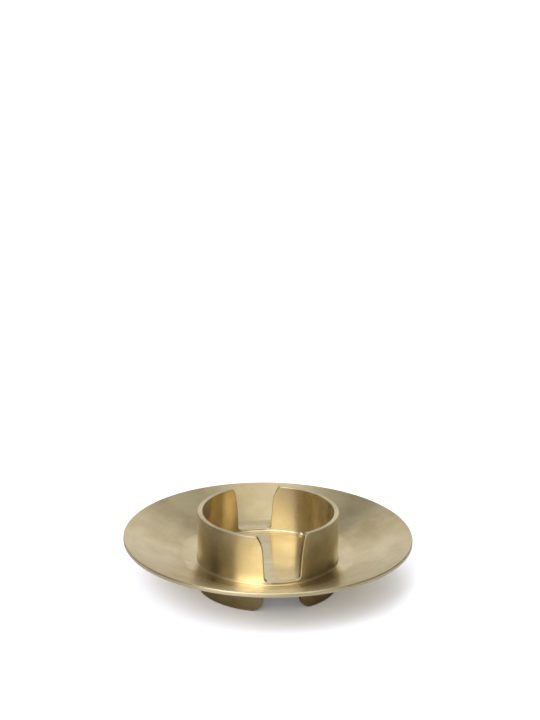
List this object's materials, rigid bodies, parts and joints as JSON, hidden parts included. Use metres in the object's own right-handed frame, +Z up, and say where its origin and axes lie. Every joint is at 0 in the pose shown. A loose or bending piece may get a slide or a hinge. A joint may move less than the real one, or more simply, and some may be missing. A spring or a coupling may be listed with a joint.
{
  "type": "pillar candle holder",
  "caption": "Brass pillar candle holder: a slotted cup ring on a shallow conical drip dish, raised on a slotted foot ring.",
  "frame": {"origin": "on the common axis of the rings, at table level under the feet", "axes": "+Z up along the rings' axis; the notches are on the Y axis, front notch towards -Y"},
  "size_m": [0.1208, 0.1208, 0.0327],
  "materials": {
    "dish_brass": "spun and fine-sanded solid brass, satin, unlacquered",
    "tube_brass": "brushed solid brass tube, satin, unlacquered",
    "braze": "dressed braze filler, slightly paler and brighter than the tube"
  },
  "bodies": {
    "root": {"dish": "dish_brass", "cup_ring": "tube_brass", "foot_ring": "tube_brass", "cup_outer_braze": "braze", "cup_inner_braze": "braze", "foot_outer_braze": "braze", "foot_inner_braze": "braze"}
  },
  "joints": []
}
